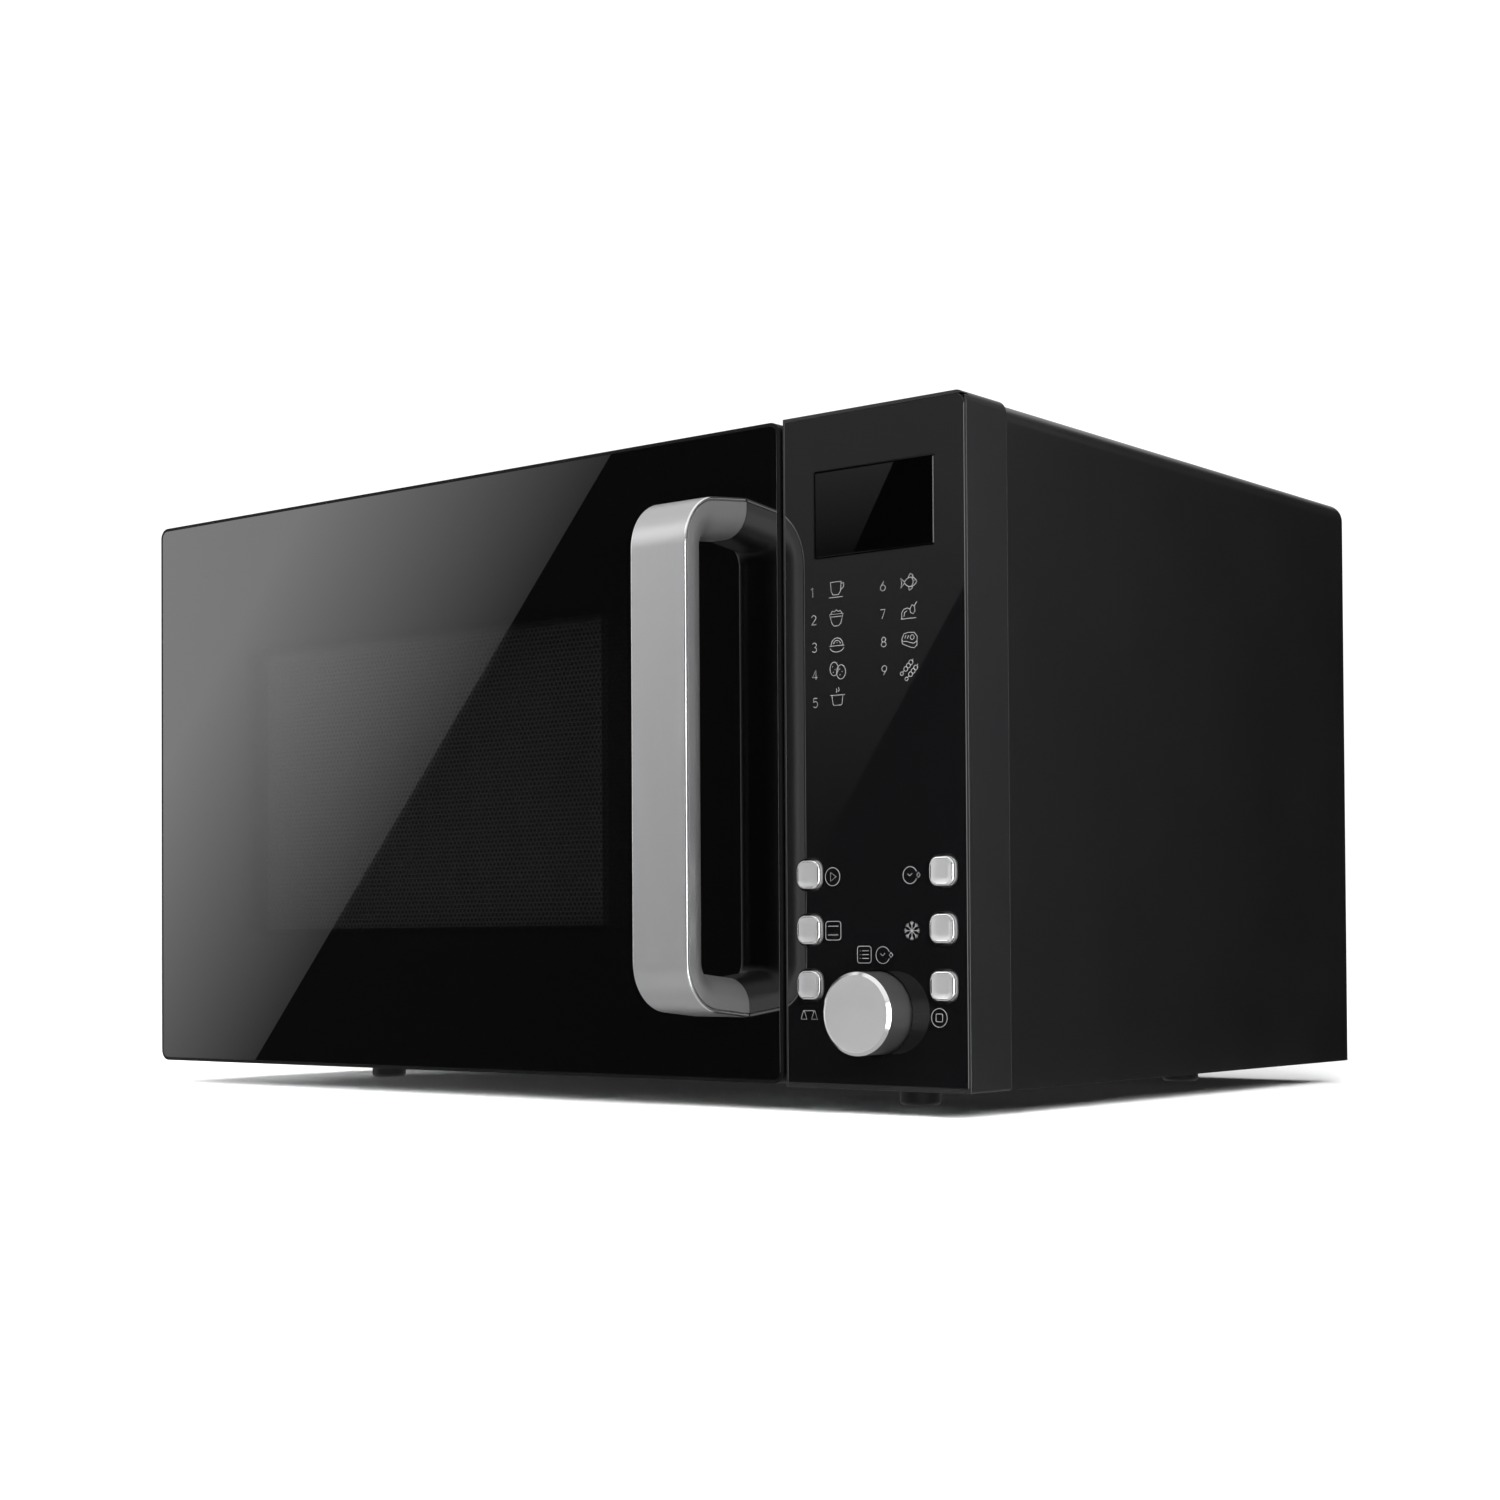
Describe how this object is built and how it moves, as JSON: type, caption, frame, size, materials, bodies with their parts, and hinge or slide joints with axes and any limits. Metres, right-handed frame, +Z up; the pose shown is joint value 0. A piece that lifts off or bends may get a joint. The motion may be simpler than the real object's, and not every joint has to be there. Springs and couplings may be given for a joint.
{
  "type": "microwave oven",
  "caption": "Countertop microwave oven with grill: box case, side-hinged glass door with a vertical bow handle, control column with display, buttons and a dial, turntable inside",
  "frame": {"origin": "on the worktop, under the middle of the whole appliance's width and depth, handle included", "axes": "+X to the right seen from the front, +Y from the door to the back, +Z up"},
  "size_m": [0.485, 0.3906, 0.279],
  "materials": {
    "black_paint": "satin black powder paint",
    "zinc_steel": "plain zinc-coated sheet",
    "oven_enamel": "smooth grey oven enamel",
    "bare_steel": "bare steel",
    "screw_steel": "darkened steel",
    "foot_rubber": "matt rubber",
    "black_gloss": "glossy black moulding",
    "black_moulding": "fine-grained black moulding",
    "door_pane": "dark tinted glass",
    "clear_film": "clear plastic pane",
    "fascia_pane": "dark glass, printed from behind",
    "display_pane": "dark smoked window",
    "tray_pane": "clear toughened glass",
    "handle_silver": "satin silver lacquer",
    "handle_band": "brushed band with bright edges",
    "knob_silver": "satin metal with a bright bevel",
    "button_silver": "satin metal with a bright rim",
    "mica": "mica sheet",
    "quartz": "frosted quartz tube",
    "white_nylon": "white nylon",
    "grey_nylon": "grey nylon",
    "circuit_board": "green resin board",
    "motor_zinc": "pressed motor can",
    "core_steel": "stacked laminations",
    "copper_coil": "enamelled copper wire",
    "lamp_glass": "small clear bulb"
  },
  "bodies": {
    "case": {"outer_wrap": "black_paint", "base_plate": "black_paint", "rear_panel": "zinc_steel", "front_frame": "black_paint", "rubber_feet": "foot_rubber", "case_screws": "screw_steel", "cord_inlet": "black_moulding", "oven_cavity": "oven_enamel", "waveguide": "zinc_steel", "waveguide_cover": "mica", "oven_lamp": "lamp_glass", "grill_reflector": "bare_steel", "grill_heater": "quartz", "grill_guard": "bare_steel", "turntable_motor": "motor_zinc", "hinge_upper": "bare_steel", "hinge_lower": "bare_steel", "interlock_bracket": "white_nylon", "microswitches": "black_moulding", "control_bezel": "black_gloss", "control_fascia": "fascia_pane", "display_window": "display_pane", "display_module": "black_moulding", "control_board": "circuit_board", "rotary_encoder": "bare_steel", "tact_switches": "black_moulding", "magnetron": "bare_steel", "transformer_core": "core_steel", "transformer_windings": "copper_coil", "capacitor": "motor_zinc", "diode": "black_moulding", "filter_board": "circuit_board", "fan_shroud": "black_moulding", "fan_motor": "core_steel"},
    "door": {"door_frame": "black_gloss", "door_glass": "door_pane", "door_panel": "black_paint", "door_screen": "black_paint", "inner_film": "clear_film", "choke_cover": "black_moulding", "handle_strip": "handle_band", "handle_grip": "handle_silver", "handle_screws": "screw_steel", "latch_spring": "bare_steel"},
    "latch": {"door_latch": "grey_nylon"},
    "turntable": {"turntable_coupler": "white_nylon", "glass_tray": "tray_pane"},
    "roller_carriage": {"roller_ring": "white_nylon"},
    "roller_1": {"roller_wheel_1": "white_nylon"},
    "roller_2": {"roller_wheel_2": "white_nylon"},
    "roller_3": {"roller_wheel_3": "white_nylon"},
    "knob": {"control_knob": "knob_silver", "encoder_shaft": "bare_steel"},
    "fan": {"fan_blade": "black_moulding"},
    "button_start": {"button_start": "button_silver"},
    "button_grill": {"button_grill": "button_silver"},
    "button_weight": {"button_weight": "button_silver"},
    "button_timer": {"button_timer": "button_silver"},
    "button_defrost": {"button_defrost": "button_silver"},
    "button_stop": {"button_stop": "button_silver"}
  },
  "joints": [
    {"name": "door_swing", "type": "hinge", "parent": "case", "child": "door", "pos_m": [-0.2355, -0.13675, 0.144], "axis": [0, 0, -1], "range_deg": [0, 105]},
    {"name": "latch_lift", "type": "slide", "parent": "door", "child": "latch", "axis": [0, 0, 1], "range_m": [0, 0.004], "stiffness_N_per_m": 250, "springref_m": -0.006},
    {"name": "turntable_spin", "type": "hinge", "parent": "case", "child": "turntable", "pos_m": [-0.0525, 0.02925, 0.04], "axis": [0, 0, 1], "continuous": true},
    {"name": "roller_carriage_spin", "type": "hinge", "parent": "case", "child": "roller_carriage", "pos_m": [-0.0525, 0.02925, 0.0481], "axis": [0, 0, 1], "continuous": true},
    {"name": "roller_1_spin", "type": "hinge", "parent": "roller_carriage", "child": "roller_1", "pos_m": [0.0325, 0.02925, 0.0481], "axis": [1, 0, 0], "continuous": true},
    {"name": "roller_2_spin", "type": "hinge", "parent": "roller_carriage", "child": "roller_2", "pos_m": [-0.095, 0.10286, 0.0481], "axis": [-0.5, 0.866, 0], "continuous": true},
    {"name": "roller_3_spin", "type": "hinge", "parent": "roller_carriage", "child": "roller_3", "pos_m": [-0.095, -0.04436, 0.0481], "axis": [-0.5, -0.866, 0], "continuous": true},
    {"name": "knob_turn", "type": "hinge", "parent": "case", "child": "knob", "pos_m": [0.1988, -0.15575, 0.0401], "axis": [0, -1, 0], "continuous": true},
    {"name": "start_press", "type": "slide", "parent": "case", "child": "button_start", "axis": [0, 1, 0], "range_m": [0, 0.0015], "stiffness_N_per_m": 500, "springref_m": -0.001},
    {"name": "grill_press", "type": "slide", "parent": "case", "child": "button_grill", "axis": [0, 1, 0], "range_m": [0, 0.0015], "stiffness_N_per_m": 500, "springref_m": -0.001},
    {"name": "weight_press", "type": "slide", "parent": "case", "child": "button_weight", "axis": [0, 1, 0], "range_m": [0, 0.0015], "stiffness_N_per_m": 500, "springref_m": -0.001},
    {"name": "timer_press", "type": "slide", "parent": "case", "child": "button_timer", "axis": [0, 1, 0], "range_m": [0, 0.0015], "stiffness_N_per_m": 500, "springref_m": -0.001},
    {"name": "defrost_press", "type": "slide", "parent": "case", "child": "button_defrost", "axis": [0, 1, 0], "range_m": [0, 0.0015], "stiffness_N_per_m": 500, "springref_m": -0.001},
    {"name": "stop_press", "type": "slide", "parent": "case", "child": "button_stop", "axis": [0, 1, 0], "range_m": [0, 0.0015], "stiffness_N_per_m": 500, "springref_m": -0.001},
    {"name": "fan_spin", "type": "hinge", "parent": "case", "child": "fan", "pos_m": [0.1775, 0.14725, 0.209], "axis": [0, 1, 0], "continuous": true}
  ],
  "couplings": [
    {"joint": "roller_carriage_spin", "follows": "turntable_spin", "ratio": 0.5},
    {"joint": "roller_1_spin", "follows": "turntable_spin", "ratio": -5.3125},
    {"joint": "roller_2_spin", "follows": "turntable_spin", "ratio": -5.3125},
    {"joint": "roller_3_spin", "follows": "turntable_spin", "ratio": -5.3125}
  ]
}
